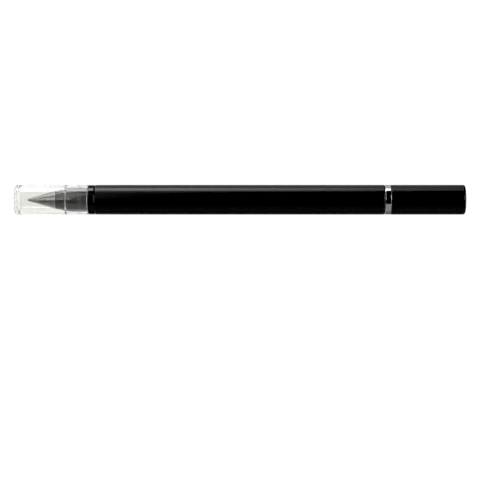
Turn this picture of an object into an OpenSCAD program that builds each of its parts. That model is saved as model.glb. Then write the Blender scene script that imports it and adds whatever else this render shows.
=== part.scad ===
// Dual-tip pen: a ballpoint at one end, an inkless pencil at the other and a push-on cap over each.
// The pen lies along X with +Z up. The pencil points to -X and the ballpoint to +X.
// The origin is on the axis, half-way along the capped pen.
// Every profile below is drawn with its radius along x and its place along the pen in y.

/* [Barrel] */
// Outside diameter of the barrel, which both caps match
barrel_d = 10; // [9.6:0.1:12]
// Length of the barrel tube
barrel_len = 97.7; // [92:0.1:106]
// Wall of the barrel tube
barrel_wall = 0.6; // [0.5:0.05:0.7]
// Rounding of the barrel's rim at the ballpoint end
barrel_edge = 0.5; // [0.1:0.05:0.6]
// Rounding of the barrel's rim beside the collar
seam_edge = 0.15; // [0.05:0.05:0.4]

/* [Pencil holder] */
// Length of the collar between the pencil cap and the barrel
collar_len = 2; // [1.5:0.1:4]
// Rounding of the collar's front rim
collar_edge = 0.35; // [0.05:0.05:0.4]
// Width of the bevelled seam between the collar and the barrel
seam_len = 0.5; // [0.2:0.05:0.8]
// Depth of that seam
seam_depth = 0.25; // [0.1:0.05:0.4]
// Diameter of the neck that the pencil cap pushes onto
neck_d = 8.1; // [7.6:0.1:8.4]
// Length of the neck
neck_len = 5.75; // [4.5:0.05:8]
// Distance from the collar to the middle of the neck's snap bead
neck_bead_y = 2.7; // [1.5:0.1:3.8]
// Length of the cone that carries the pencil tip
cone_len = 5.1; // [4:0.1:7]
// Diameter of the ring ribs' core on the spigot inside the barrel
spigot_core_d = 6.4; // [5:0.1:7.6]
// Width of a ring rib on the spigot
rib_w = 1.2; // [0.8:0.1:2]
// Number of ring ribs on the spigot
rib_count = 4; // [2:1:6]
// Depth of the socket that holds the refill's tail
tail_socket = 3; // [1.5:0.1:5]
// Diameter of the air hole behind that socket
vent_d = 2; // [1:0.1:2.4]
// Depth of the air hole
vent_len = 8; // [4:0.5:10]

/* [Pencil tip] */
// Length of the pencil tip in front of its holder
tip_len = 9.5; // [7:0.1:13]
// Diameter of the pencil tip's base
tip_base_d = 6.1; // [5:0.1:6.8]
// Radius of the pencil tip's writing point
tip_point_r = 0.42; // [0.2:0.02:0.7]
// Rounding of the pencil tip's base rim
tip_edge = 0.1; // [0.05:0.05:0.25]
// Diameter of the shank that is bonded into the holder
shank_d = 3; // [2:0.1:4]
// Length of that shank
shank_len = 6; // [4:0.1:8]

/* [Pencil cap] */
// Free room between the pencil tip and the cap's end wall
tip_room = 3.1; // [1:0.1:5]
// Thickness of the cap's end wall
cap_wall_end = 1.2; // [0.8:0.1:2]
// Rounding of the cap's closed end, outside
cap_edge = 0.9; // [0.2:0.1:1.2]
// Rounding of the cap's closed end, inside
cap_edge_inside = 1.2; // [0.3:0.1:1.6]
// How far the wide mouth of the bore reaches past the neck
mouth_past_neck = 1.5; // [1:0.1:3]
// Length of the bevel between the wide mouth and the narrow bore
step_bevel = 0.35; // [0.1:0.05:0.6]
// Clearance between the narrow bore and the holder's cone
cone_room = 0.2; // [0.1:0.02:0.4]

/* [Snap beads] */
// Width of the snap bead on each neck
bead_w = 1.1; // [0.8:0.05:1.4]
// Height of the snap bead above its neck
bead_h = 0.15; // [0.08:0.01:0.2]
// Depth of the click groove inside each cap
click_depth = 0.04; // [0.02:0.01:0.1]

/* [Ballpoint nose] */
// Length of the flange that shows as a bright ring
flange_len = 2.05; // [1.4:0.05:3]
// Rounding of the flange's front rim
flange_round = 0.22; // [0.1:0.02:0.6]
// How far the flange's rim lies below the barrel's surface
flange_drop = 0.05; // [0:0.01:0.15]
// Rounding of the flange's rim beside the barrel
flange_edge = 0.2; // [0.05:0.01:0.3]
// Diameter of the neck that the ballpoint cap pushes onto
nose_neck_d = 7.95; // [7.6:0.05:8.2]
// Length of that neck
nose_neck_len = 5; // [4:0.1:7]
// Distance from the flange to the middle of the neck's snap bead
nose_bead_y = 2.6; // [1.5:0.1:3.2]
// Length of the hollow-curved flare in front of the neck
flare_len = 9.3; // [7:0.1:12]
// Diameter of the nose's front rim
nose_front_d = 3.5; // [3.1:0.1:4.2]
// Distance from the front rim back to the shoulder that stops the refill
shoulder_depth = 5.2; // [4.5:0.1:6]
// Outside diameter of the screw thread
thread_d = 7.6; // [7:0.1:7.9]
// Length of the threaded shank behind the flange
thread_len = 7.5; // [6.5:0.1:10]
// Length of the undercut between the thread and the flange
relief_len = 0.8; // [0.4:0.1:1.2]
// Depth of that undercut
relief_depth = 0.25; // [0.1:0.05:0.4]
// Lead-in bevel on the thread's free end
thread_lead = 0.4; // [0.1:0.05:0.8]

/* [Thread bush] */
// Length of the bush inside the barrel
bush_len = 9; // [7:0.1:12]
// How far the bush is set in from the barrel's end
bush_inset = 0.3; // [0:0.1:1]
// Width of the glue groove round the bush
glue_w = 4; // [1:0.1:5]
// Depth of that groove
glue_depth = 0.15; // [0.05:0.05:0.3]

/* [Refill] */
// Length of the refill from the ball to the tail
refill_len = 107; // [100:0.5:110]
// Outside diameter of the refill's tube
refill_d = 3; // [2.6:0.1:3]
// Bore of the refill's tube
refill_bore_d = 2; // [1.4:0.1:2]
// Empty length behind the ink
air_len = 12; // [4:1:40]
// Diameter of the ballpoint's body
point_d = 2.3; // [2:0.1:2.4]
// Length of the ballpoint's round body in front of the nose
point_straight = 1.3; // [0.6:0.1:2]
// How far the ball reaches out of the nose
point_out = 4.15; // [3:0.05:5]
// Length of the ballpoint's shank inside the tube
point_shank_len = 5; // [3:0.1:7]
// Diameter of the ink channel through the ballpoint
channel_d = 0.7; // [0.4:0.05:0.8]
// Diameter of the writing ball
ball_d = 1; // [0.7:0.05:1.2]
// How far the ball stands out of its rim
ball_out = 0.3; // [0.2:0.02:0.34]
// Thickness of the rim that holds the ball
ball_rim = 0.08; // [0.04:0.01:0.15]

/* [Ballpoint cap] */
// Wall of the ballpoint cap's tube
sleeve_wall = 0.4; // [0.3:0.05:0.5]
// Rounding of the tube's mouth
sleeve_edge = 0.12; // [0.05:0.01:0.3]
// Free room between the ball and the cap's end plug
ball_room = 4.6; // [2:0.1:8]
// Height of the end plug's head
plug_head = 0.8; // [0.5:0.1:2]
// Rounding of that head
plug_edge = 0.65; // [0.2:0.05:0.75]
// Depth of the end plug inside the tube
plug_depth = 1.2; // [0.8:0.1:3]
// Length of the liner inside the tube
liner_len = 16; // [10:0.5:20]
// Lead-in bevel inside the liner's mouth
liner_lead = 0.12; // [0.05:0.01:0.2]

/* [Clearances] */
// Radial gap between a cap and the snap bead inside it
cap_gap = 0.05; // [0.02:0.01:0.1]
// Gap where the ballpoint cap seats on the flange and the refill on its stops
seat_gap = 0.05; // [0.02:0.01:0.1]
// Radial gap of the nose's thread in its bush
thread_gap = 0.06; // [0.02:0.01:0.1]
// Radial gap round the refill
refill_gap = 0.08; // [0.02:0.01:0.1]
// Radial gap between the ball and its seat
ball_gap = 0.015; // [0.01:0.005:0.03]
// Radial gap for the glue between bonded pieces
bond_gap = 0.03; // [0.01:0.01:0.05]

/* [Hidden] */
$fn = 96;
// Extra length of a cut past the face that it opens
over = 1;

// Radii along the barrel and the pencil end
barrel_r = barrel_d / 2;
barrel_bore_r = barrel_r - barrel_wall;
bonded_r = barrel_bore_r - bond_gap;
neck_r = neck_d / 2;
tip_base_r = tip_base_d / 2;
tail_r = refill_d / 2 + refill_gap;

// Lengths at the pencil end, counted from the collar's front face
tip_y = neck_len + cone_len;
apex_y = tip_y + tip_len;
mouth_len = neck_len + mouth_past_neck;
pencil_cap_len = apex_y + tip_room + cap_wall_end;

// Bores of the pencil cap
mouth_r = neck_r + bead_h + cap_gap;
cone_slope = (neck_r - tip_base_r) / cone_len;
narrow_r = neck_r - cone_slope * mouth_past_neck + cone_room;

// The pencil tip's ball end is tangent to its cone
tip_ball_y = tip_len - tip_point_r;
tip_slope = acos(tip_point_r / norm([tip_base_r, tip_ball_y])) - atan2(tip_ball_y, tip_base_r);
tip_tangent_r = tip_point_r * cos(tip_slope);
tip_tangent_y = tip_ball_y + tip_point_r * sin(tip_slope);

// Radii and lengths of the nose, counted from the flange's back face
flange_r = barrel_r - flange_drop;
nose_neck_r = nose_neck_d / 2;
nose_front_r = nose_front_d / 2;
thread_r = thread_d / 2;
flare_y = flange_len + nose_neck_len;
nose_len = flare_y + flare_len;
flare_drop = nose_neck_r - nose_front_r;
flare_r = (flare_len * flare_len + flare_drop * flare_drop) / (2 * flare_drop);
shoulder_y = nose_len - shoulder_depth;

// Refill, counted from the flange's back face
point_r = point_d / 2;
ball_r = ball_d / 2;
ball_apex_y = nose_len + point_out;
ball_y = ball_apex_y - ball_r;
seat_r = ball_r + ball_gap;
rim_y = ball_apex_y - ball_out;
rim_r = sqrt(seat_r * seat_r - (rim_y - ball_y) * (rim_y - ball_y)) + ball_rim;
tube_front_y = shoulder_y - seat_gap;
tail_y = ball_apex_y - refill_len;
refill_bore_r = refill_bore_d / 2;
shank_back_y = tube_front_y - point_shank_len;

// Ballpoint cap, counted from the flange's back face
sleeve_bore_r = barrel_r - sleeve_wall;
liner_r = nose_neck_r + bead_h + cap_gap;
cap_mouth_y = flange_len + seat_gap;
sleeve_end_y = ball_apex_y + ball_room + plug_depth;
cap_end_y = sleeve_end_y + plug_head;

// Places along the pen
pen_len = pencil_cap_len + collar_len + seam_len + barrel_len + cap_end_y;
collar_x = pencil_cap_len - pen_len / 2;
barrel_x = collar_x + collar_len + seam_len;
nose_x = barrel_x + barrel_len;

// The spigot reaches from the barrel's end to the refill's tail
spigot_len = barrel_len + tail_y + tail_socket;

// Turns a profile about the pen's axis, with its own zero at x
module turned(x) {
    translate([x, 0, 0]) rotate([0, 90, 0]) rotate_extrude() children();
}

// Section of a plain ring
module ring(r_in, r_out, y_from, y_to) {
    translate([r_in, y_from]) square([r_out - r_in, y_to - y_from]);
}

// Waste outside a rounded rim at radius r and place y; way is 1 for a rim that faces +y and -1 for -y
module rim_waste(r, y, edge, way) {
    translate([r - edge, y - way * edge]) difference() {
        mirror([0, way < 0 ? 1 : 0]) square(edge + over);
        circle(edge);
    }
}

// Section of a shallow half-round ring of the given height on radius r, centred at y
module snap_ring(r, y, height) {
    arc_r = (bead_w * bead_w / 4 + height * height) / (2 * height);
    intersection() {
        translate([r + height - arc_r, y]) circle(arc_r);
        ring(r - height, r + 2 * height, y - bead_w, y + bead_w);
    }
}

// Aluminium tube
module barrel() {
    color("#101011") turned(barrel_x) difference() {
        ring(barrel_bore_r, barrel_r, 0, barrel_len);
        rim_waste(barrel_r, barrel_len, barrel_edge, 1);
        rim_waste(barrel_r, 0, seam_edge, -1);
    }
}

// Brass bush that takes the nose's thread, with a glue groove round its middle
module ballpoint_bush() {
    color("#b08d4a") turned(nose_x - bush_inset - bush_len) difference() {
        ring(thread_r + thread_gap, bonded_r, 0, bush_len);
        ring(bonded_r - glue_depth, bonded_r + over, (bush_len - glue_w) / 2, (bush_len + glue_w) / 2);
    }
}

// Moulded holder: cone, neck with its snap bead, collar, bevelled seam and the ribbed spigot in the barrel
module pencil_holder() {
    spigot_end = collar_len + seam_len + spigot_len;
    rib_pitch = (spigot_len - rib_w) / (rib_count - 1);
    color("#141414") turned(collar_x) difference() {
        union() {
            polygon([
                [0, -tip_y], [tip_base_r, -tip_y], [neck_r, -neck_len], [neck_r, 0],
                [barrel_r, 0], [barrel_r, collar_len], [barrel_r - seam_depth, collar_len + seam_len],
                [spigot_core_d / 2, collar_len + seam_len], [spigot_core_d / 2, spigot_end], [0, spigot_end]
            ]);
            snap_ring(neck_r, -neck_bead_y, bead_h);
            for (i = [0 : rib_count - 1]) {
                rib_y = collar_len + seam_len + i * rib_pitch;
                ring(0, bonded_r, rib_y, rib_y + rib_w);
            }
        }
        rim_waste(barrel_r, 0, collar_edge, -1);
        ring(0, shank_d / 2 + bond_gap, -tip_y - over, shank_len + bond_gap - tip_y);
        ring(0, tail_r, spigot_end - tail_socket - seat_gap, spigot_end + over);
        ring(0, vent_d / 2, spigot_end - tail_socket - vent_len, spigot_end);
    }
}

// Graphite-alloy writing tip: a cone with a ball end, on a shank
module pencil_tip() {
    color("#7d7d79") turned(collar_x - tip_y) mirror([0, 1]) union() {
        difference() {
            polygon([[0, 0], [tip_base_r, 0], [tip_tangent_r, tip_tangent_y], [0, tip_tangent_y]]);
            rim_waste(tip_base_r, 0, tip_edge, -1);
        }
        intersection() {
            translate([0, tip_ball_y]) circle(tip_point_r);
            ring(0, tip_base_r, tip_tangent_y, tip_len + over);
        }
        ring(0, shank_d / 2, -shank_len, 0);
    }
}

// Clear cap with a stepped bore and a click groove near its mouth
module pencil_cap() {
    bore_end = pencil_cap_len - cap_wall_end;
    color("#eef1f1", 0.4) turned(collar_x) mirror([0, 1]) difference() {
        ring(0, barrel_r, 0, pencil_cap_len);
        rim_waste(barrel_r, pencil_cap_len, cap_edge, 1);
        polygon([
            [0, -over], [mouth_r, -over], [mouth_r, mouth_len],
            [narrow_r, mouth_len + step_bevel], [0, mouth_len + step_bevel]
        ]);
        snap_ring(mouth_r, neck_bead_y, click_depth);
        difference() {
            ring(0, narrow_r, mouth_len - over, bore_end);
            rim_waste(narrow_r, bore_end, cap_edge_inside, 1);
        }
    }
}

// Chromed nose: threaded shank, flange, neck with its snap bead, and the flare
module nose_cone() {
    color("#c9cccf") turned(nose_x) difference() {
        union() {
            polygon([
                [0, -thread_len], [thread_r - thread_lead, -thread_len], [thread_r, thread_lead - thread_len],
                [thread_r, -relief_len], [thread_r - relief_depth, -relief_len], [thread_r - relief_depth, 0],
                [flange_r, 0], [flange_r, flange_len], [nose_neck_r, flange_len],
                [nose_neck_r, flare_y], [0, flare_y]
            ]);
            snap_ring(nose_neck_r, flange_len + nose_bead_y, bead_h);
            difference() {
                ring(0, nose_neck_r, flare_y, nose_len);
                translate([nose_front_r + flare_r, nose_len]) circle(flare_r);
            }
        }
        rim_waste(flange_r, 0, flange_edge, -1);
        rim_waste(flange_r, flange_len, flange_round, 1);
        ring(0, tail_r, -thread_len - over, shoulder_y);
        ring(0, point_r + refill_gap, shoulder_y - over, nose_len + over);
    }
}

// Plastic tube of the refill
module refill_tube() {
    color("#dfe3e0", 0.6) turned(nose_x) ring(refill_bore_r, refill_d / 2, tail_y, tube_front_y);
}

// Ink in the tube
module refill_ink() {
    color("#0a0a12") turned(nose_x) ring(0, refill_bore_r - bond_gap, tail_y + air_len, shank_back_y);
}

// Ballpoint: shank in the tube, round body, cone and the seat that holds the ball
module refill_point() {
    color("#b9b5a8") turned(nose_x) difference() {
        polygon([
            [0, shank_back_y], [refill_bore_r - bond_gap, shank_back_y], [refill_bore_r - bond_gap, tube_front_y],
            [point_r, tube_front_y], [point_r, nose_len + point_straight], [rim_r, rim_y], [0, rim_y]
        ]);
        ring(0, channel_d / 2, shank_back_y - over, ball_y);
        translate([0, ball_y]) circle(seat_r);
    }
}

// Writing ball
module writing_ball() {
    color("#6f7275") translate([nose_x + ball_y, 0, 0]) sphere(ball_r);
}

// Aluminium tube of the ballpoint cap
module ballpoint_cap() {
    color("#101011") turned(nose_x) difference() {
        ring(sleeve_bore_r, barrel_r, cap_mouth_y, sleeve_end_y);
        rim_waste(barrel_r, cap_mouth_y, sleeve_edge, -1);
    }
}

// Moulded liner that grips the nose's bead, with a click groove and a bevelled mouth
module ballpoint_cap_liner() {
    color("#2a2a2b") turned(nose_x) difference() {
        ring(liner_r, sleeve_bore_r - bond_gap, cap_mouth_y, cap_mouth_y + liner_len);
        snap_ring(liner_r, flange_len + nose_bead_y, click_depth);
        polygon([
            [liner_r - over, cap_mouth_y - over], [liner_r + liner_lead + over, cap_mouth_y - over],
            [liner_r, cap_mouth_y + liner_lead], [liner_r - over, cap_mouth_y + liner_lead]
        ]);
    }
}

// End plug that closes the cap's tube
module ballpoint_cap_end() {
    color("#121212") turned(nose_x) difference() {
        union() {
            ring(0, sleeve_bore_r - bond_gap, sleeve_end_y - plug_depth, sleeve_end_y);
            ring(0, barrel_r, sleeve_end_y, cap_end_y);
        }
        rim_waste(barrel_r, cap_end_y, plug_edge, 1);
    }
}

barrel();
ballpoint_bush();
pencil_holder();
pencil_tip();
pencil_cap();
nose_cone();
refill_tube();
refill_ink();
refill_point();
writing_ball();
ballpoint_cap();
ballpoint_cap_liner();
ballpoint_cap_end();
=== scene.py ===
"""Looks of a dual-tip pen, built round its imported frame.

The pen lies along X: the pencil tip under a clear cap at -X and the ballpoint under a black cap at +X.
Every piece is turned about that axis, so a piece is an outline of (x, radius) points, with its corners
rounded, that is carried round the axis on a grid. Lengths are in metres, in the frame's own axes.
"""

import math

import bpy
import numpy as np
from bpy.props import FloatProperty, FloatVectorProperty, IntProperty, PointerProperty
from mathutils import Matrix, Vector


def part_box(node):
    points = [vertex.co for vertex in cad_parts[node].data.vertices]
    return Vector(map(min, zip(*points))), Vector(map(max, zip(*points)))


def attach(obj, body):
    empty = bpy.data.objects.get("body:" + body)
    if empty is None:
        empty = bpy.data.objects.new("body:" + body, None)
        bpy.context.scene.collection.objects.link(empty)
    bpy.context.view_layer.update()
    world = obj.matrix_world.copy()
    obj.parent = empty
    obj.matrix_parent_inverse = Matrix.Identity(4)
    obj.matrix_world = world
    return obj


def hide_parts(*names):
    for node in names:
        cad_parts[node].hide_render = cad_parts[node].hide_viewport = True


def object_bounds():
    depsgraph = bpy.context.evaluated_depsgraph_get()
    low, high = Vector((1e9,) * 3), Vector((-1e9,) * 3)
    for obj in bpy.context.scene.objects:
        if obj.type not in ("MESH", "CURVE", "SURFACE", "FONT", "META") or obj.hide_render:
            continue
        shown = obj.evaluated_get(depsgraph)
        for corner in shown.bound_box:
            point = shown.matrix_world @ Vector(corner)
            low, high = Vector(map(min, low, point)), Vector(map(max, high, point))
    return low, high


bl_info = {
    "name": "Dual-tip pen",
    "version": (1, 0, 0),
    "blender": (4, 5, 0),
    "location": "View3D > Sidebar > Pen",
    "description": "Turned surfaces, finishes, stage and camera of a pen with a pencil and a ballpoint",
    "category": "Object",
}

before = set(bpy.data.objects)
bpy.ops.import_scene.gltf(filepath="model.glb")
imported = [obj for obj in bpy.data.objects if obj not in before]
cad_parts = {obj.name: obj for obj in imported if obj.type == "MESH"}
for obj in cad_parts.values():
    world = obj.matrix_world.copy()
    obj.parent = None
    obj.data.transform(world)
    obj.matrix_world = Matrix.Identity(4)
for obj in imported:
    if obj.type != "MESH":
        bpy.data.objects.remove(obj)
CAD_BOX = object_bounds()

MM = 0.001
# Steps round a piece, and along the arc of one rounded corner
COLUMNS = 144
ARC_STEPS = 8
# Extra point beside each arc, so that the straight run next to it keeps its own shading
ARC_LEAD = 0.008 * MM
# Edge that a turned or moulded corner has when nothing softer is asked for
FINE_EDGE = 0.04 * MM
# Smaller edges, for the corners of finer steps
SMALL_EDGE = FINE_EDGE / 2
HAIR_EDGE = FINE_EDGE / 4
# Wear of a rounded corner that shows none
POLISHED = 0.0
# Slope of a snap ring's flanks, as a share of the slope that one plain arc would have at its foot
FLANK_SHARE = 0.92
# Rows along one turn of a screw thread, and the share of its pitch that its crest and its root each take
THREAD_ROWS = 18
THREAD_FLAT = 1 / 6
# Creases sharper than this stay crisp
CREASE_ANGLE = math.radians(35)


def linear(hex_colour):
    """Linear red, green and blue of an sRGB colour such as "#a0b1c2"."""
    parts = [int(hex_colour[i:i + 2], 16) / 255 for i in (1, 3, 5)]
    return tuple(p / 12.92 if p <= 0.04045 else ((p + 0.055) / 1.055) ** 2.4 for p in parts)


def length(name, millimetres, description):
    """A length property, with its default given in millimetres."""
    return FloatProperty(
        name=name, description=description, default=millimetres * MM, min=0.0, precision=5, unit="LENGTH"
    )


def colour(name, hex_colour, description):
    """A colour property, with its default given as an sRGB hex value."""
    return FloatVectorProperty(
        name=name, description=description, default=linear(hex_colour),
        min=0.0, max=1.0, size=3, subtype="COLOR"
    )


class PenBarrelSizes(bpy.types.PropertyGroup):
    """Sizes of the barrel and of the thread bush inside it."""

    wall: length("Barrel wall", 0.6, "Wall of the barrel tube")
    front_edge: length("Front rim", 0.5, "Rounding of the barrel's rim beside the bright ring")
    seam_edge: length("Seam rim", 0.15, "Rounding of the barrel's rim beside the collar")
    glue_width: length("Glue groove", 4.0, "Width of the glue groove round the thread bush")
    glue_depth: length("Glue depth", 0.15, "Depth of that groove")


class PenPencilSizes(bpy.types.PropertyGroup):
    """Sizes of the pencil end: holder, tip and clear cap."""

    seam_width: length("Seam", 0.5, "Width of the bevelled seam between the collar and the barrel")
    seam_depth: length("Seam depth", 0.25, "Depth of that seam")
    collar_edge: length("Collar rim", 0.35, "Rounding of the front rims of the collar and of the neck")
    neck_radius: length("Neck radius", 4.05, "Radius of the neck that the clear cap pushes onto")
    neck_length: length("Neck length", 5.75, "Length of that neck")
    bead_place: length("Bead place", 2.7, "Distance from the collar to the middle of the snap bead")
    foot_radius: length("Cone foot", 3.05, "Radius where the holder's cone meets the pencil tip")
    spigot_radius: length("Spigot core", 3.2, "Radius of the spigot between its ring ribs")
    rib_width: length("Rib width", 1.2, "Width of a ring rib on the spigot")
    rib_count: IntProperty(name="Ribs", description="Number of ring ribs on the spigot", default=4, min=2)
    vent_radius: length("Air hole", 1.0, "Radius of the air hole behind the refill's tail")
    vent_depth: length("Air hole depth", 8.0, "Depth of that air hole")
    shank_radius: length("Shank radius", 1.5, "Radius of the pencil tip's shank")
    bond_gap: length("Bond gap", 0.03, "Room for the glue round the shank")
    tip_edge: length("Tip rim", 0.1, "Rounding of the pencil tip's base rim")
    point_radius: length("Point radius", 0.4, "Rounding of the pencil's writing point")
    point_blunt: length("Point blunt", 0.316, "Radius of the cone where it is cut off for that rounding")
    mouth_radius: length("Cap mouth", 4.25, "Radius of the wide bore at the clear cap's mouth")
    mouth_depth: length("Mouth depth", 7.25, "Depth of that wide bore")
    step_bevel: length("Step bevel", 0.35, "Length of the bevel from the wide bore to the narrow one")
    step_edge: length("Step edge", 0.6, "Rounding of the two corners of that bevel")
    mouth_lead: length("Mouth lead-in", 0.2, "Bevel inside the clear cap's mouth")
    mouth_edge: length("Mouth rim", 0.12, "Rounding of the clear cap's mouth, outside")
    bore_radius: length("Cap bore", 3.956, "Radius of the narrow bore behind the wide one")
    end_wall: length("End wall", 1.2, "Thickness of the clear cap's end wall")
    end_edge: length("End edge", 0.9, "Rounding of the clear cap's end, outside")
    end_edge_inside: length("End edge inside", 1.2, "Rounding of the clear cap's end, inside")
    gate_radius: length("Gate mark", 0.75, "Radius of the moulding mark in the middle of the cap's end")
    gate_depth: length("Gate depth", 0.12, "Depth of that mark")


class PenNoseSizes(bpy.types.PropertyGroup):
    """Sizes of the chromed nose, its thread and the refill's point."""

    flange_length: length("Flange", 2.05, "Length of the bright ring")
    flange_round: length("Flange front", 0.22, "Rounding of the bright ring beside the ballpoint cap")
    flange_edge: length("Flange back", 0.2, "Rounding of the bright ring beside the barrel")
    neck_radius: length("Neck radius", 3.975, "Radius of the neck that the ballpoint cap pushes onto")
    neck_length: length("Neck length", 5.0, "Length of that neck")
    bead_place: length("Bead place", 2.6, "Distance from the bright ring to the middle of the snap bead")
    flare_radius: length("Flare curve", 20.2, "Radius of the hollow curve in front of the neck")
    flare_run: length("Flare run", 4.915, "Distance from the front rim to where the flare's tangents cross")
    front_radius: length("Front rim", 1.75, "Radius of the nose's front rim")
    shoulder_depth: length("Shoulder", 5.2, "Depth of the shoulder that stops the refill")
    refill_gap: length("Refill gap", 0.08, "Radial room round the refill")
    thread_radius: length("Thread radius", 3.8, "Outside radius of the screw thread")
    thread_pitch: length("Thread pitch", 0.75, "Distance from one turn of the thread to the next")
    thread_depth: length("Thread depth", 0.4, "Depth of the thread")
    thread_gap: length("Thread gap", 0.06, "Radial room between the thread and its bush")
    thread_lead: length("Thread lead-in", 0.4, "Bevel on the thread's free end")
    relief_length: length("Undercut", 0.8, "Length of the undercut between the thread and the bright ring")
    relief_depth: length("Undercut depth", 0.25, "Depth of that undercut")
    point_straight: length("Point body", 1.3, "Length of the ballpoint's round body in front of the nose")
    point_shank: length("Point shank", 0.97, "Radius of the ballpoint's shank inside the refill")
    channel_radius: length("Ink channel", 0.35, "Radius of the ink channel through the ballpoint")
    ball_gap: length("Ball gap", 0.015, "Radial room between the ball and its seat")
    ball_rim: length("Ball rim", 0.08, "Thickness of the rim that holds the ball")


class PenBallpointCapSizes(bpy.types.PropertyGroup):
    """Sizes of the ballpoint cap: tube, liner and end plug."""

    wall: length("Cap wall", 0.4, "Wall of the ballpoint cap's tube")
    mouth_edge: length("Mouth rim", 0.12, "Rounding of the tube's mouth")
    liner_bore: length("Liner bore", 4.175, "Radius of the bore that grips the nose")
    liner_lead: length("Liner lead-in", 0.12, "Bevel inside the liner's mouth")
    plug_edge: length("Plug edge", 0.65, "Rounding of the end plug's head")


class PenSnapSizes(bpy.types.PropertyGroup):
    """Sizes of the snap beads on both necks and of the grooves that they click into."""

    bead_width: length("Bead width", 1.1, "Width of a snap bead")
    bead_height: length("Bead height", 0.15, "Height of a snap bead above its neck")
    click_depth: length("Click depth", 0.04, "Depth of the groove inside a cap that the bead clicks into")


class PenFinishes(bpy.types.PropertyGroup):
    """Colours of the pen's materials."""

    anodised: colour("Anodised black", "#040405", "Dyed oxide on the barrel and the ballpoint cap")
    # Rim tint: partly dye thinned by handling, partly a painted highlight along the rims
    wear_and_highlight: colour("Worn rim", "#1d1d1f", "Where handling has thinned the dye on a rim")
    moulded: colour("Moulded black", "#050505", "Gloss black plastic of the pencil holder and the end plug")
    graphite: colour("Graphite alloy", "#b2b1af", "Ground grey of the pencil tip")
    graphite_dark: colour("Graphite dark", "#7d7c7a", "Darker streaks of the pencil tip")
    clear: colour("Clear plastic", "#f8f8f5", "Body of the clear cap")
    chrome: colour("Chrome", "#dcdee0", "Plated nose")
    brass: colour("Brass", "#cfa659", "Thread bush")
    nickel: colour("Nickel silver", "#c9c4b6", "Ballpoint's body")
    carbide: colour("Carbide", "#8b8e91", "Writing ball")
    tube: colour("Refill tube", "#e6eae5", "Translucent tube of the refill")
    ink: colour("Ink", "#07070d", "Ink in the refill")
    liner: colour("Liner", "#1b1b1c", "Dark liner inside the ballpoint cap")


class PenStageSettings(bpy.types.PropertyGroup):
    """Camera, light tent and picture."""

    camera_height: length("Camera height", 689.0, "Height of the camera above the pen's axis")
    camera_back: length("Camera aside", 13.6, "How far the camera stands to the -Y side of the pen's axis")
    lens: FloatProperty(name="Lens", description="Focal length of the camera", default=153.0, unit="CAMERA")
    cloth: colour("Tent cloth", "#cdcdcb", "Cloth of the tent's roof")
    cloth_glow: FloatProperty(name="Cloth glow", description="Light that the cloth gives off", default=0.6)
    table: colour("Light table", "#585858", "Acrylic of the light table that is the floor")
    table_glow: FloatProperty(name="Table glow", description="Light that the table gives off", default=0.94)
    room: colour("Room", "#161616", "Dim room outside the tent")
    strip_glow: FloatProperty(
        name="Strip glow", description="Radiance of the far strip light beside its lamp, at -X", default=6.5
    )
    strip_reach: length("Strip reach", 155.0, "How far from the middle the strip's light ends, at +X")
    black_level: FloatProperty(
        name="Black level", description="Radiance that the picture shows as black",
        default=0.013, precision=4
    )
    bounces: IntProperty(
        name="Bounces", description="How often light may turn inside the clear cap's walls",
        default=32, min=1
    )


def add(tree, kind, inputs=None, **settings):
    """Adds a node of that kind with those settings, and gives its inputs a value or another's output."""
    node = tree.nodes.new(kind)
    for name, value in settings.items():
        setattr(node, name, value)
    for name, value in (inputs or {}).items():
        if isinstance(value, bpy.types.NodeSocket):
            tree.links.new(value, node.inputs[name])
        else:
            node.inputs[name].default_value = value
    return node


def surface(name, constants=None):
    """An emptied material of that name, its tree, its shader with those constants, and its coordinates."""
    material = bpy.data.materials.get(name) or bpy.data.materials.new(name)
    material.use_nodes = True
    tree = material.node_tree
    tree.nodes.clear()
    shader = add(tree, "ShaderNodeBsdfPrincipled", constants)
    add(tree, "ShaderNodeOutputMaterial", {"Surface": shader.outputs["BSDF"]})
    place = add(tree, "ShaderNodeTexCoord").outputs["Object"]
    return material, tree, shader, place


def streaks(tree, place, along, across, detail=3.0):
    """Noise drawn out along the pen: its grains are about along metres long in X and across metres wide."""
    scaled = add(tree, "ShaderNodeMapping", {"Vector": place, "Scale": (1 / along, 1 / across, 1 / across)})
    noise = {"Vector": scaled.outputs["Vector"], "Scale": 1.0, "Detail": detail}
    return add(tree, "ShaderNodeTexNoise", noise).outputs["Fac"]


def between(tree, value, low, high):
    """The middle half of a noise value, spread from low to high."""
    spread = {"Value": value, "From Min": 0.25, "From Max": 0.75, "To Min": low, "To Max": high}
    return add(tree, "ShaderNodeMapRange", spread).outputs["Result"]


def relief(tree, shader, value, depth):
    """Lets a noise value stand depth metres high on the shader's surface."""
    bump = add(tree, "ShaderNodeBump", {"Height": value, "Distance": depth, "Strength": 1.0})
    tree.links.new(bump.outputs["Normal"], shader.inputs["Normal"])


def blend(tree, share, first, second):
    """A colour that goes from first to second with share."""
    # Sockets 0, 6 and 7 of a Mix node take its share and its two colours, and its output 2 is their blend
    sockets = {0: share, 6: (*first, 1.0), 7: (*second, 1.0)}
    return add(tree, "ShaderNodeMix", sockets, data_type="RGBA").outputs[2]


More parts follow.
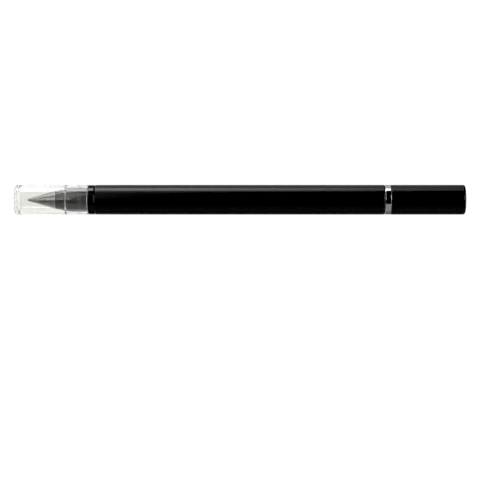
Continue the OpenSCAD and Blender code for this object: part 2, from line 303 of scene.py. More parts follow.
def anodised_aluminium(finishes):
    """Drawn aluminium tube, anodised, dyed black and sealed."""
    # A deep black with a smooth gloss, faint lines along the tube from drawing, and rims a little lighter,
    # from wear and as a painted highlight
    material, tree, shader, place = surface("anodised_aluminium")
    drawn = streaks(tree, place, 40 * MM, 0.3 * MM)
    handled = streaks(tree, place, 3 * MM, 3 * MM)
    rim = add(tree, "ShaderNodeAttribute", attribute_name="edge").outputs["Fac"]
    # Rims take the lighter tint in patches, partly as wear and partly as a painted highlight
    wear_and_highlight = add(tree, "ShaderNodeMath", {0: rim, 1: handled}, operation="MULTIPLY").outputs["Value"]
    tree.links.new(blend(tree, wear_and_highlight, finishes.anodised, finishes.wear_and_highlight), shader.inputs["Base Color"])
    tree.links.new(between(tree, handled, 0.27, 0.33), shader.inputs["Roughness"])
    relief(tree, shader, drawn, 0.0012 * MM)
    return material


def gloss_abs(finishes):
    """ABS moulded in a polished tool."""
    # A black shine, sharper than the barrel's, over the faint ripple that polished mouldings have
    constants = {"Base Color": (*finishes.moulded, 1.0), "IOR": 1.53}
    material, tree, shader, place = surface("gloss_abs", constants)
    ripple = streaks(tree, place, 1.4 * MM, 1.4 * MM, 1.0)
    rubbed = streaks(tree, place, 0.15 * MM, 2.5 * MM)
    tree.links.new(between(tree, rubbed, 0.09, 0.17), shader.inputs["Roughness"])
    relief(tree, shader, ripple, 0.004 * MM)
    return material


def graphite_alloy(finishes):
    """Graphite-metal alloy, turned and then ground to a cone."""
    # A dull pewter grey with grinding rings, drawn 0.2 mm apart, coarser than real, so that they show
    material, tree, shader, place = surface("graphite_alloy", {"Metallic": 1.0})
    rings = streaks(tree, place, 0.2 * MM, 3 * MM)
    ground = blend(tree, between(tree, rings, 0.0, 1.0), finishes.graphite_dark, finishes.graphite)
    tree.links.new(ground, shader.inputs["Base Color"])
    tree.links.new(between(tree, rings, 0.46, 0.34), shader.inputs["Roughness"])
    relief(tree, shader, rings, 0.006 * MM)
    return material


def clear_polystyrene(finishes):
    """Polystyrene moulded clear in a polished tool."""
    # Water-clear with bright edges, the slow ripple of the melt, and tight corners a little hazed
    constants = {"Base Color": (*finishes.clear, 1.0), "IOR": 1.55, "Transmission Weight": 0.97}
    material, tree, shader, place = surface("clear_polystyrene", constants)
    ripple = streaks(tree, place, 6 * MM, 3 * MM, 1.0)
    relief(tree, shader, ripple, 0.008 * MM)
    rim = add(tree, "ShaderNodeAttribute", attribute_name="edge").outputs["Fac"]
    haze = add(tree, "ShaderNodeMapRange", {"Value": rim, "To Min": 0.03, "To Max": 0.2}).outputs["Result"]
    tree.links.new(haze, shader.inputs["Roughness"])
    return material


def chrome_plate(finishes):
    """Bright chrome on turned and polished brass."""
    # A mirror, with the slightest haze where polishing left its rings
    constants = {"Base Color": (*finishes.chrome, 1.0), "Metallic": 1.0}
    material, tree, shader, place = surface("chrome_plate", constants)
    rings = streaks(tree, place, 0.15 * MM, 4 * MM)
    tree.links.new(between(tree, rings, 0.03, 0.07), shader.inputs["Roughness"])
    relief(tree, shader, rings, 0.0004 * MM)
    return material


def turned_metal(name, tint, smooth, rough):
    """Bar metal as it comes off a lathe, unplated, with a roughness from smooth to rough."""
    # Soft metal shine, broken by the tool's rings, which are drawn 0.12 mm apart so that they show
    material, tree, shader, place = surface(name, {"Base Color": (*tint, 1.0), "Metallic": 1.0})
    rings = streaks(tree, place, 0.12 * MM, 5 * MM)
    tree.links.new(between(tree, rings, smooth, rough), shader.inputs["Roughness"])
    relief(tree, shader, rings, 0.002 * MM)
    return material


def polypropylene(finishes):
    """Polypropylene tube, extruded."""
    # Milky and half see-through, with draw lines along it
    constants = {"Base Color": (*finishes.tube, 1.0), "IOR": 1.49, "Transmission Weight": 0.6}
    material, tree, shader, place = surface("polypropylene", constants)
    drawn = streaks(tree, place, 20 * MM, 0.3 * MM)
    tree.links.new(between(tree, drawn, 0.28, 0.4), shader.inputs["Roughness"])
    relief(tree, shader, drawn, 0.003 * MM)
    return material


def oil_ink(finishes):
    """Paste ink in its tube."""
    # A wet black, a little streaked where it has slid along the tube
    material, tree, shader, place = surface("oil_ink", {"Base Color": (*finishes.ink, 1.0)})
    smear = streaks(tree, place, 8 * MM, 0.6 * MM)
    tree.links.new(between(tree, smear, 0.06, 0.2), shader.inputs["Roughness"])
    return material


def moulded_liner(finishes):
    """Acetal moulded in a spark-eroded tool."""
    # A dull, finely pitted dark grey
    constants = {"Base Color": (*finishes.liner, 1.0), "IOR": 1.48}
    material, tree, shader, place = surface("moulded_liner", constants)
    pits = streaks(tree, place, 0.12 * MM, 0.12 * MM)
    tree.links.new(between(tree, pits, 0.42, 0.56), shader.inputs["Roughness"])
    relief(tree, shader, pits, 0.006 * MM)
    return material


def ends(node):
    """Where a node starts and ends along the pen, and its largest radius."""
    low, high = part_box(node)
    return low.x, high.x, high.z


def rounded(corners, closed=True):
    """Outline with rounded corners, from rows of (x, radius, edge, wear).

    At a corner P with unit directions u and v to its neighbours, b is half the angle between them. The arc
    of radius edge touches both sides at edge / tan(b) from P, and its centre lies edge / sin(b) from P
    along u + v. Along the arc, the spoke turns evenly from one touch to the other. An open outline keeps
    its two end points as they are. A row may leave out its edge, which is then 0, and its wear, which is
    then 1. The result has rows of (x, radius, share), where share is the corner's wear on an arc and 0
    beside it.
    """
    plain = (0.0, 1.0)
    corners = np.array([(*row, *plain[len(row) - 2:]) for row in corners])
    place, edge, wear = corners[:, :2], corners[:, 2:3], corners[:, 3:]
    if closed:
        before, after = np.roll(place, 1, axis=0), np.roll(place, -1, axis=0)
    else:
        before, after = place[:-2], place[2:]
        place, edge, wear = place[1:-1], edge[1:-1], wear[1:-1]
    reach_u = np.linalg.norm(before - place, axis=1, keepdims=True)
    reach_v = np.linalg.norm(after - place, axis=1, keepdims=True)
    u, v = (before - place) / reach_u, (after - place) / reach_v
    half = np.arccos(np.clip((u * v).sum(axis=1, keepdims=True), -1, 1)) / 2
    touch = edge / np.tan(half)
    room = touch + ARC_LEAD
    if closed:
        taken = room + np.roll(room, -1, axis=0)
    else:
        taken = room + np.vstack([room[1:], [[0.0]]])
    if (taken > reach_v).any():
        raise ValueError(f"edges overlap after the corners {place[(taken > reach_v)[:, 0]].tolist()}")
    middle = (u + v) / np.linalg.norm(u + v, axis=1, keepdims=True)
    centre = place + middle * edge / np.sin(half)
    spoke_u, spoke_v = place + u * touch - centre, place + v * touch - centre
    sweep = (math.pi - 2 * half)[:, :, None]
    step = np.linspace(0, 1, ARC_STEPS + 1)[None, :, None]
    spokes = np.sin((1 - step) * sweep) * spoke_u[:, None] + np.sin(step * sweep) * spoke_v[:, None]
    arcs = centre[:, None] + spokes / np.sin(sweep)
    points = np.concatenate([(place + u * room)[:, None], arcs, (place + v * room)[:, None]], axis=1)
    share = np.zeros((*points.shape[:2], 1))
    share[:, 1:-1] = wear[:, None]
    outline = np.concatenate([points, share], axis=2).reshape(-1, 3)
    if closed:
        return outline
    first, last = (np.append(corners[end, :2], 0.0) for end in (0, -1))
    return np.vstack([first, outline, last])


def snap_ring(x, radius, width, height):
    """Corners of a shallow ring that widens a turned run by height: a bead on a neck or a groove in a bore.

    One plain arc of that width and height would rise at 2 atan(height / half width) from its foot. The
    flanks rise at FLANK_SHARE of that, and the arc between them peaks at height: it lies below the flanks'
    crossing by edge (1 / cos(flank) - 1). A width below 0 gives the corners from high x to low.
    """
    half = width / 2
    flank = FLANK_SHARE * 2 * math.atan(height / half)
    crossing = half * math.tan(flank)
    edge = (crossing - height) / (1 / math.cos(flank) - 1)
    return [(x - half, radius, FINE_EDGE), (x, radius + crossing, edge), (x + half, radius, FINE_EDGE)]


def sphere_arc(x, radius, start, end):
    """Part of a circle centred on the axis: x + radius cos(a) along the pen and radius sin(a) across it."""
    angle = np.radians(np.linspace(start, end, 4 * ARC_STEPS + 1))
    return np.stack([x + radius * np.cos(angle), radius * np.sin(angle), np.zeros(len(angle))], axis=1)


def straight_run(start, end, radius, step):
    """Even points about step apart, strictly between two places on a run of one radius."""
    count = max(2, round(abs(end - start) / step))
    x = np.linspace(start, end, count + 1)[1:-1]
    return np.stack([x, np.full_like(x, radius), np.zeros_like(x)], axis=1)


def screw_thread(radius, start, end, pitch, depth):
    """Right-hand thread on the run of that radius, as the change of radius at (x, radius, angle).

    The phase x / pitch - angle / 2 pi runs once from crest to crest. Its distance from the nearest crest,
    from 0 to 1, gives a V with a flat on its crest and in its root. The cut fades out over half a pitch at
    both ends.
    """
    def cut(x, r, angle):
        phase = np.mod(x / pitch - angle / math.tau, 1)
        from_crest = 1 - np.abs(2 * phase - 1)
        groove = np.clip((from_crest - THREAD_FLAT) / (1 - 2 * THREAD_FLAT), 0, 1)
        inside = np.clip(np.minimum(x - start, end - x) / (pitch / 2), 0, 1)
        return np.where(np.abs(r - radius) < ARC_LEAD, -depth * groove * inside, 0.0)
    return cut


def lathe(name, outline, closed=True, shape=None, about="X"):
    """Carries an outline round an axis as one mesh object.

    Row i and column j lie at x_i along the axis and, with t = 2 pi j / columns, at r (cos t, sin t) across
    it, where r is the outline's radius plus shape(x, r, t). An open outline starts and ends on the axis,
    and its two end points become poles. The outline is run with its inside on the left, so that faces
    point outwards.
    """
    x, r = outline[:, 0], outline[:, 1]
    if (x * np.roll(r, -1) - np.roll(x, -1) * r).sum() < 0:
        outline = outline[::-1]
    rings = outline if closed else outline[1:-1]
    x, r, share = rings.T[:, :, None]
    angle = np.linspace(0, math.tau, COLUMNS, endpoint=False)[None, :]
    if shape:
        r = r + shape(x, r, angle)
    across = (r * np.cos(angle), r * np.sin(angle))
    points = np.stack([np.broadcast_to(x, across[0].shape), *across], axis=-1).reshape(-1, 3)
    row = np.arange(len(rings) if closed else len(rings) - 1)[:, None]
    here, there = row * COLUMNS, (row + 1) % len(rings) * COLUMNS
    j, k = np.arange(COLUMNS), (np.arange(COLUMNS) + 1) % COLUMNS
    faces = np.stack([here + j, there + j, there + k, here + k], axis=-1).reshape(-1, 4).tolist()
    share = np.repeat(share, COLUMNS)
    if not closed:
        first, last = len(points), len(rings) * COLUMNS - COLUMNS
        points = np.vstack([points, outline[[0, -1]] * (1, 0, 0)])
        share = np.append(share, (0, 0))
        faces += np.stack([np.full(COLUMNS, first), j, k], axis=-1).tolist()
        faces += np.stack([last + j, np.full(COLUMNS, first + 1), last + k], axis=-1).tolist()
    if about == "Z":
        points = np.roll(points, -1, axis=1)
    piece = mesh_object(name, points, faces)
    # Share of each rounded corner: the black tubes lighten it as wear and as a painted highlight
    wear_and_highlight = piece.data.attributes.new("edge", "FLOAT", "POINT")
    wear_and_highlight.data.foreach_set("value", share.astype(np.float32))
    return piece


def mesh_object(name, points, faces):
    """A smooth mesh object at the origin."""
    mesh = bpy.data.meshes.new(name)
    mesh.from_pydata(points, [], faces)
    mesh.polygons.foreach_set("use_smooth", np.ones(len(mesh.polygons), bool))
    mesh.set_sharp_from_angle(angle=CREASE_ANGLE)
    return scene_object(name, mesh)


def scene_object(name, data):
    """An object that shows a mesh or a camera, in place of any of that name."""
    old = bpy.data.objects.get(name)
    if old:
        bpy.data.objects.remove(old)
    made = bpy.data.objects.new(name, data)
    bpy.context.scene.collection.objects.link(made)
    return made


def dress(piece, body, node, material):
    """Puts a piece on its body in place of its node, with its finish."""
    piece.data.materials.append(material)
    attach(piece, body)
    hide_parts(node)


class PEN_OT_barrel(bpy.types.Operator):
    """Make the black barrel tube"""

    bl_idname = "pen.barrel"
    bl_label = "Barrel"

    def execute(self, context):
        sizes = context.scene.pen_barrel
        back, front, radius = ends("barrel")
        bore = radius - sizes.wall
        tube = lathe("barrel_tube", rounded([
            (back, bore, FINE_EDGE), (front, bore, FINE_EDGE),
            (front, radius, sizes.front_edge), (back, radius, sizes.seam_edge),
        ]))
        dress(tube, "barrel", "barrel", anodised_aluminium(context.scene.pen_finishes))
        return {"FINISHED"}


class PEN_OT_thread_bush(bpy.types.Operator):
    """Make the brass bush that takes the nose's thread"""

    bl_idname = "pen.thread_bush"
    bl_label = "Thread bush"

    def execute(self, context):
        sizes, nose = context.scene.pen_barrel, context.scene.pen_nose
        back, front, radius = ends("ballpoint_bush")
        bore = nose.thread_radius + nose.thread_gap
        floor = radius - sizes.glue_depth
        middle = (back + front) / 2
        glue_back, glue_front = middle - sizes.glue_width / 2, middle + sizes.glue_width / 2
        run_back, run_front = back + nose.thread_pitch / 2, front - nose.thread_pitch / 2
        outline = np.vstack([
            straight_run(run_back, run_front, bore, nose.thread_pitch / THREAD_ROWS),
            rounded([
                (run_front, bore), (front, bore, FINE_EDGE), (front, radius, FINE_EDGE),
                (glue_front, radius, FINE_EDGE), (glue_front, floor, FINE_EDGE),
                (glue_back, floor, FINE_EDGE), (glue_back, radius, FINE_EDGE),
                (back, radius, FINE_EDGE), (back, bore, FINE_EDGE), (run_back, bore),
            ], closed=False),
        ])
        thread = screw_thread(bore, run_back, run_front, nose.thread_pitch, nose.thread_depth)
        bush = lathe("thread_bush", outline, shape=thread)
        brass = turned_metal("turned_brass", context.scene.pen_finishes.brass, 0.22, 0.36)
        dress(bush, "barrel", "ballpoint_bush", brass)
        return {"FINISHED"}


class PEN_OT_pencil_holder(bpy.types.Operator):
    """Make the moulded holder of the pencil tip: cone, neck, collar and the ribbed spigot in the barrel"""

    bl_idname = "pen.pencil_holder"
    bl_label = "Pencil holder"

    def execute(self, context):
        sizes, snap, nose = context.scene.pen_pencil, context.scene.pen_snap, context.scene.pen_nose
        front, back, radius = ends("pencil_holder")
        collar = ends("pencil_cap")[1]
        barrel = ends("barrel")[0]
        shank = ends("pencil_tip")[1] + sizes.bond_gap
        tail, _, refill = ends("refill_tube")
        socket = sizes.shank_radius + sizes.bond_gap
        rib = radius - context.scene.pen_barrel.wall - sizes.bond_gap
        rib_step = (back - barrel - sizes.rib_width) / (sizes.rib_count - 1)
        rib_starts = [barrel + i * rib_step for i in range(sizes.rib_count)]
        core = sizes.spigot_radius
        valleys = [
            corner
            for this, following in zip(rib_starts, rib_starts[1:])
            for corner in (
                (this + sizes.rib_width, rib, FINE_EDGE), (this + sizes.rib_width, core, FINE_EDGE),
                (following, core, FINE_EDGE), (following, rib, FINE_EDGE),
            )
        ]
        tail_socket = refill + nose.refill_gap
        tail_stop, vent_end = tail - sizes.bond_gap, tail - sizes.vent_depth
        holder = lathe("pencil_holder_moulding", rounded([
            (shank, 0), (shank, socket, FINE_EDGE), (front, socket, FINE_EDGE),
            (front, sizes.foot_radius, FINE_EDGE),
            (collar - sizes.neck_length, sizes.neck_radius, sizes.collar_edge),
            *snap_ring(collar - sizes.bead_place, sizes.neck_radius, snap.bead_width, snap.bead_height),
            (collar, sizes.neck_radius, FINE_EDGE), (collar, radius, sizes.collar_edge),
            (barrel - sizes.seam_width, radius, FINE_EDGE), (barrel, radius - sizes.seam_depth, FINE_EDGE),
            (barrel, rib, FINE_EDGE), *valleys, (back, rib, FINE_EDGE),
            (back, tail_socket, FINE_EDGE), (tail_stop, tail_socket, FINE_EDGE),
            (tail_stop, sizes.vent_radius, FINE_EDGE),
            (vent_end, sizes.vent_radius, FINE_EDGE), (vent_end, 0),
        ], closed=False), closed=False)
        dress(holder, "barrel", "pencil_holder", gloss_abs(context.scene.pen_finishes))
        return {"FINISHED"}


class PEN_OT_pencil_tip(bpy.types.Operator):
    """Make the ground cone that writes, with its shank"""

    bl_idname = "pen.pencil_tip"
    bl_label = "Pencil tip"

    def execute(self, context):
        sizes = context.scene.pen_pencil
        apex, back, _ = ends("pencil_tip")
        base = ends("pencil_holder")[0]
        tip = lathe("pencil_tip_cone", rounded([
            (back, 0), (back, sizes.shank_radius, FINE_EDGE), (base, sizes.shank_radius, FINE_EDGE),
            (base, sizes.foot_radius, sizes.tip_edge),
            (apex, sizes.point_blunt, sizes.point_radius), (apex, 0),
        ], closed=False), closed=False)
        dress(tip, "barrel", "pencil_tip", graphite_alloy(context.scene.pen_finishes))
        return {"FINISHED"}


class PEN_OT_clear_cap(bpy.types.Operator):
    """Make the clear cap over the pencil tip, with its stepped bore and the gate mark on its end"""

    bl_idname = "pen.clear_cap"
    bl_label = "Clear cap"

    def execute(self, context):
        sizes, snap = context.scene.pen_pencil, context.scene.pen_snap
        end, mouth, radius = ends("pencil_cap")
        bore_end, step = end + sizes.end_wall, mouth - sizes.mouth_depth
        gate_floor = end + sizes.gate_depth
        cap = lathe("clear_cap", rounded([
            (bore_end, 0), (bore_end, sizes.bore_radius, sizes.end_edge_inside, POLISHED),
            (step - sizes.step_bevel, sizes.bore_radius, sizes.step_edge),
            (step, sizes.mouth_radius, sizes.step_edge),
            *snap_ring(mouth - sizes.bead_place, sizes.mouth_radius, snap.bead_width, snap.click_depth),
            (mouth - sizes.mouth_lead, sizes.mouth_radius, FINE_EDGE),
            (mouth, sizes.mouth_radius + sizes.mouth_lead, FINE_EDGE), (mouth, radius, sizes.mouth_edge),
            (end, radius, sizes.end_edge, POLISHED), (end, sizes.gate_radius, FINE_EDGE),
            (gate_floor, sizes.gate_radius - sizes.gate_depth / 2, FINE_EDGE), (gate_floor, 0),
        ], closed=False), closed=False)
        clear = clear_polystyrene(context.scene.pen_finishes)
        dress(cap, "pencil_cap", "pencil_cap", clear)
        return {"FINISHED"}


class PEN_OT_nose(bpy.types.Operator):
    """Make the chromed nose: threaded shank, bright ring, neck with its bead, and the hollow flare"""

    bl_idname = "pen.nose"
    bl_label = "Nose"

    def execute(self, context):
        sizes, snap = context.scene.pen_nose, context.scene.pen_snap
        crest, pitch = sizes.thread_radius, sizes.thread_pitch
        back, front, flange = ends("nose_cone")
        ring_back = ends("barrel")[1]
        ring_front = ring_back + sizes.flange_length
        neck_front = ring_front + sizes.neck_length
        relief_back = ring_back - sizes.relief_length
        relief_radius = crest - sizes.relief_depth
        tube_bore = ends("refill_tube")[2] + sizes.refill_gap
        point_bore = ends("refill_point")[2] + sizes.refill_gap
        shoulder = front - sizes.shoulder_depth
        # The thread starts half a lead-in past its bevel, and ends a fine edge short of the undercut
        run_back, run_front = back + 1.5 * sizes.thread_lead, relief_back - FINE_EDGE
        bead = ring_front + sizes.bead_place
        outline = np.vstack([
            straight_run(run_front, run_back, crest, pitch / THREAD_ROWS),
            rounded([
                (run_back, crest), (back + sizes.thread_lead, crest, FINE_EDGE),
                (back, crest - sizes.thread_lead, FINE_EDGE), (back, tube_bore, FINE_EDGE),
                (shoulder, tube_bore, FINE_EDGE), (shoulder, point_bore, FINE_EDGE),
                (front, point_bore, FINE_EDGE), (front, sizes.front_radius, FINE_EDGE),
                (front - sizes.flare_run, sizes.front_radius, sizes.flare_radius),
                (neck_front, sizes.neck_radius, FINE_EDGE),
                *snap_ring(bead, sizes.neck_radius, -snap.bead_width, snap.bead_height),
                (ring_front, sizes.neck_radius, FINE_EDGE),
                (ring_front, flange, sizes.flange_round), (ring_back, flange, sizes.flange_edge),
                (ring_back, relief_radius, FINE_EDGE), (relief_back, relief_radius, FINE_EDGE),
                (relief_back, crest, HAIR_EDGE), (run_front, crest),
            ], closed=False),
        ])
        thread = screw_thread(crest, run_back, run_front, pitch, sizes.thread_depth)
        nose = lathe("nose_turning", outline, shape=thread)
        dress(nose, "nose", "nose_cone", chrome_plate(context.scene.pen_finishes))
        return {"FINISHED"}


class PEN_OT_refill(bpy.types.Operator):
    """Make the refill: finish its tube and ink, and turn its point and its writing ball"""

    bl_idname = "pen.refill"
    bl_label = "Refill"

    def execute(self, context):
        sizes, finishes = context.scene.pen_nose, context.scene.pen_finishes
        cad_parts["refill_tube"].data.materials[0] = polypropylene(finishes)
        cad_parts["refill_ink"].data.materials[0] = oil_ink(finishes)
        back, front, body = ends("refill_point")
        ball_back, ball_front, ball = ends("writing_ball")
        ball_x = (ball_back + ball_front) / 2
        tube_front = ends("refill_tube")[1]
        cone_back = ends("nose_cone")[1] + sizes.point_straight
        seat = ball + sizes.ball_gap
        rim_angle = math.acos((front - ball_x) / seat)
        channel_angle = math.pi - math.asin(sizes.channel_radius / seat)
        rim = seat * math.sin(rim_angle)
        channel_end = ball_x + seat * math.cos(channel_angle)
        outline = np.vstack([
            rounded([
                (channel_end, sizes.channel_radius), (back, sizes.channel_radius, FINE_EDGE),
                (back, sizes.point_shank, FINE_EDGE), (tube_front, sizes.point_shank, FINE_EDGE),
                (tube_front, body, FINE_EDGE), (cone_back, body, FINE_EDGE),
                (front, rim + sizes.ball_rim, SMALL_EDGE), (front, rim),
            ], closed=False),
            sphere_arc(ball_x, seat, math.degrees(rim_angle), math.degrees(channel_angle))[1:-1],
        ])
        point = lathe("refill_point_turning", outline)
        nickel = turned_metal("turned_nickel_silver", finishes.nickel, 0.16, 0.28)
        dress(point, "refill", "refill_point", nickel)
        writing_ball = lathe("lapped_ball", sphere_arc(ball_x, ball, 0, 180) * (1, 1, 0), closed=False)
        carbide = turned_metal("lapped_carbide", finishes.carbide, 0.1, 0.2)
        dress(writing_ball, "writing_ball", "writing_ball", carbide)
        return {"FINISHED"}


class PEN_OT_ballpoint_cap(bpy.types.Operator):
    """Make the ballpoint cap: black tube, dark liner and end plug"""

    bl_idname = "pen.ballpoint_cap"
    bl_label = "Ballpoint cap"

    def execute(self, context):
        sizes, snap, nose = context.scene.pen_cap, context.scene.pen_snap, context.scene.pen_nose
        finishes = context.scene.pen_finishes
        mouth, end, radius = ends("ballpoint_cap")
        bore = radius - sizes.wall
        tube = lathe("ballpoint_cap_tube", rounded([
            (mouth, bore, FINE_EDGE), (end, bore, FINE_EDGE),
            (end, radius, FINE_EDGE), (mouth, radius, sizes.mouth_edge),
        ]))
        dress(tube, "ballpoint_cap", "ballpoint_cap", anodised_aluminium(finishes))

        mouth, inner_end, radius = ends("ballpoint_cap_liner")
        click = ends("barrel")[1] + nose.flange_length + nose.bead_place
        liner = lathe("cap_liner", rounded([
            (mouth, sizes.liner_bore + sizes.liner_lead, SMALL_EDGE),
            (mouth + sizes.liner_lead, sizes.liner_bore, SMALL_EDGE),
            *snap_ring(click, sizes.liner_bore, snap.bead_width, snap.click_depth),
            (inner_end, sizes.liner_bore, FINE_EDGE), (inner_end, radius, FINE_EDGE),
            (mouth, radius, FINE_EDGE),
        ]))
        dress(liner, "ballpoint_cap", "ballpoint_cap_liner", moulded_liner(finishes))

        plug_back, plug_front, radius = ends("ballpoint_cap_end")
        spigot = ends("ballpoint_cap_liner")[2]
        plug = lathe("cap_end_plug", rounded([
            (plug_back, 0), (plug_back, spigot, FINE_EDGE), (end, spigot, HAIR_EDGE),
            (end, radius, FINE_EDGE), (plug_front, radius, sizes.plug_edge), (plug_front, 0),
        ], closed=False), closed=False)
        dress(plug, "ballpoint_cap", "ballpoint_cap_end", gloss_abs(finishes))
        return {"FINISHED"}


# Tent: its radius, the height of the rim where its floor and its roof meet, the roof's height, the bends of
# floor and roof, and the thickness of both
TENT_REACH = 1.5
TENT_RIM = 0.35
ROOF_HEIGHT = 2.2
FLOOR_BEND = 0.34
ROOF_BEND = 0.7
TENT_WALL = 0.01
# Middle, width and height of the strip light that gives the barrel its streak
STRIP = ((0, 0.45, 0.03), (0.9, 0, 0), (0, 0, 0.19))
# Soft lights that only reflections and the clear plastic show: middle, width, height and radiance of each.
# Most of the left ones fill the walls of the clear cap. The right ones give the rounded rims their streaks
# and, with left_light, the barrel its gloss in slanting views.
LIGHTS = {
    "far_low": ((0.036, 0.45, -0.5), (0.248, 0, 0), (0, 0, 0.87), 0.5),
    "near_wall": ((0, -0.45, 0.27), (1.2, 0, 0), (0, 0, 0.74), 0.3),
    "near_low": ((0.256, -0.45, -0.5), (0.688, 0, 0), (0, 0, 0.8), 0.17),
    "left_far": ((-0.356, 0.45, -0.335), (0.488, 0, 0), (0, 0, 0.54), 1.0),
    "left_near": ((-0.37, -0.45, -0.35), (0.46, 0, 0), (0, 0, 0.5), 0.9),
    "left_floor": ((-0.344, 0, -0.6), (0.512, 0, 0), (0, 0.9, 0), 0.9),
    "left_upper": ((-0.348, 0.45, 0.3), (0.504, 0, 0), (0, 0, 0.34), 0.7),
    "left_roof": ((-0.348, 0.225, 0.47), (0.504, 0, 0), (0, 0.45, 0), 0.8),
    "left_wall": ((-0.6, 0, -0.2), (0, 0.9, 0), (0, 0, 0.8), 1.2),
    "left_light": ((-0.39, 0.04, 0.46), (0.18, 0, 0), (0, 0.12, 0), 7.0),
    "right_light": ((0.335, 0.15, 0.47), (0.17, 0, 0), (0, 0.4, 0), 3.0),
    "right_upper": ((0.5, 0.1, 0.42), (0.16, 0, -0.1), (0, 0.7, 0), 1.0),
    "right_wall": ((0.65, 0.05, 0.13), (0, 1.0, 0), (0, 0, 0.46), 0.8),
}
WHITE = (1.0, 1.0, 1.0, 1.0)
BLACK = (0.0, 0.0, 0.0, 1.0)


def tent_cloth(name, tint, glow):
    """White diffusing cloth or acrylic, lit from behind."""
    # An even, faintly woven white that throws almost no shade
    constants = {"Base Color": (*tint, 1.0), "Emission Color": WHITE, "Emission Strength": glow}
    material, tree, shader, place = surface(name, constants)
    weave = streaks(tree, place, 2 * MM, 2 * MM)
    tree.links.new(between(tree, weave, 0.85, 0.95), shader.inputs["Roughness"])
    material.cycles.emission_sampling = "NONE"
    return material


def light_cloth(name, radiance):
    """Front of a soft light."""
    # A plain white glow, without gloss
    constants = {
        "Base Color": BLACK, "Specular IOR Level": 0.0,
        "Emission Color": WHITE, "Emission Strength": radiance,
    }
    return surface(name, constants)[0]


def strip_cloth(name, settings):
    """Front of the far strip light, lit by one lamp at its -X end."""
    # A glow that fades evenly away from the lamp
    material = light_cloth(name, settings.strip_glow)
    tree = material.node_tree
    place = add(tree, "ShaderNodeTexCoord").outputs["Object"]
    x = add(tree, "ShaderNodeSeparateXYZ", {"Vector": place}).outputs["X"]
    fading = {
        "Value": x, "From Min": -settings.strip_reach, "From Max": settings.strip_reach,
        "To Min": settings.strip_glow, "To Max": 0.0,
    }
    strength = add(tree, "ShaderNodeMapRange", fading).outputs["Result"]
    tree.links.new(strength, tree.nodes["Principled BSDF"].inputs["Emission Strength"])
    return material


def tent_half(name, level, bend, cloth):
    """Floor or roof of the tent: a round tray with its middle at level, made as a thin shell."""
    outside = level + math.copysign(TENT_WALL, level - TENT_RIM)
    outer, lip = TENT_REACH + TENT_WALL, TENT_WALL / 4
    half = lathe(name, rounded([
        (level, 0), (level, TENT_REACH, bend), (TENT_RIM, TENT_REACH, lip),
        (TENT_RIM, outer, lip), (outside, outer, bend + TENT_WALL), (outside, 0),
    ], closed=False), closed=False, about="Z")
    half.data.materials.append(cloth)
    half.visible_glossy = False
    return half


def soft_light(name, middle, width, height, cloth):
    """A flat light that the camera doesn't see: middle + u width + v height, for u and v of -1/2 to 1/2."""
    u, v = (g.reshape(-1, 1) for g in np.meshgrid((-0.5, 0.5), (-0.5, 0.5)))
    points = np.array(middle) + u * np.array(width) + v * np.array(height)
    light = mesh_object(name, points, [(0, 1, 3, 2)])
    light.data.materials.append(cloth)
    light.visible_camera = False
    light.visible_shadow = False
    return light


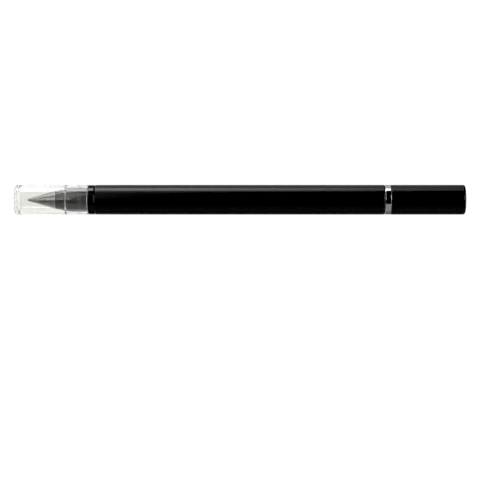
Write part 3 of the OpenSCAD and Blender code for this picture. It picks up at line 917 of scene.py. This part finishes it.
class PEN_OT_stage(bpy.types.Operator):
    """Set up the light tent, the lights that the gloss reflects, and the camera above the pen"""

    bl_idname = "pen.stage"
    bl_label = "Stage"

    def execute(self, context):
        scene, settings = context.scene, context.scene.pen_stage
        table = tent_cloth("light_table", settings.table, settings.table_glow)
        tent_half("tent_floor", CAD_BOX[0].z, FLOOR_BEND, table)
        cloth = tent_cloth("tent_cloth", settings.cloth, settings.cloth_glow)
        roof = tent_half("tent_roof", ROOF_HEIGHT, ROOF_BEND, cloth)
        roof.visible_transmission = False
        soft_light("far_strip", *STRIP, strip_cloth("far_strip_cloth", settings))
        for name, (*place, radiance) in LIGHTS.items():
            light = soft_light(name, *place, light_cloth(name + "_cloth", radiance))
            light.visible_diffuse = False

        scene.world = scene.world or bpy.data.worlds.new("studio")
        scene.world.use_nodes = True
        background = scene.world.node_tree.nodes["Background"]
        background.inputs["Color"].default_value = (*settings.room, 1.0)

        lens = bpy.data.cameras.new("camera")
        lens.lens = settings.lens
        scene.camera = scene_object("camera", lens)
        scene.camera.location = (0, -settings.camera_back, settings.camera_height)

        view = scene.view_settings
        view.view_transform = "Standard"
        view.use_curve_mapping = True
        view.curve_mapping.black_level = (settings.black_level,) * 3
        view.curve_mapping.update()
        paths = scene.cycles
        paths.max_bounces = paths.glossy_bounces = paths.transmission_bounces = settings.bounces
        return {"FINISHED"}


class PEN_PT_pen(bpy.types.Panel):
    """Lists the pen's operators and settings"""

    bl_idname = "PEN_PT_pen"
    bl_label = "Dual-tip pen"
    bl_space_type = "VIEW_3D"
    bl_region_type = "UI"
    bl_category = "Pen"

    def draw(self, context):
        for operator in OPERATORS:
            self.layout.operator(operator.bl_idname)
        for group in GROUPS:
            box = self.layout.box()
            settings = getattr(context.scene, group)
            for name in type(settings).__annotations__:
                box.prop(settings, name)


GROUPS = {
    "pen_barrel": PenBarrelSizes,
    "pen_pencil": PenPencilSizes,
    "pen_nose": PenNoseSizes,
    "pen_cap": PenBallpointCapSizes,
    "pen_snap": PenSnapSizes,
    "pen_finishes": PenFinishes,
    "pen_stage": PenStageSettings,
}
OPERATORS = (
    PEN_OT_barrel, PEN_OT_thread_bush, PEN_OT_pencil_holder, PEN_OT_pencil_tip, PEN_OT_clear_cap,
    PEN_OT_nose, PEN_OT_refill, PEN_OT_ballpoint_cap, PEN_OT_stage,
)
CLASSES = (*GROUPS.values(), *OPERATORS, PEN_PT_pen)


def register():
    for made in CLASSES:
        bpy.utils.register_class(made)
    for name, group in GROUPS.items():
        setattr(bpy.types.Scene, name, PointerProperty(type=group))


def unregister():
    for name in GROUPS:
        delattr(bpy.types.Scene, name)
    for made in reversed(CLASSES):
        bpy.utils.unregister_class(made)


def main():
    """Registers the add-on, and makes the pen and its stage."""
    register()
    bpy.ops.pen.barrel()
    bpy.ops.pen.thread_bush()
    bpy.ops.pen.pencil_holder()
    bpy.ops.pen.pencil_tip()
    bpy.ops.pen.clear_cap()
    bpy.ops.pen.nose()
    bpy.ops.pen.refill()
    bpy.ops.pen.ballpoint_cap()
    bpy.ops.pen.stage()


if __name__ == "__main__":
    main()
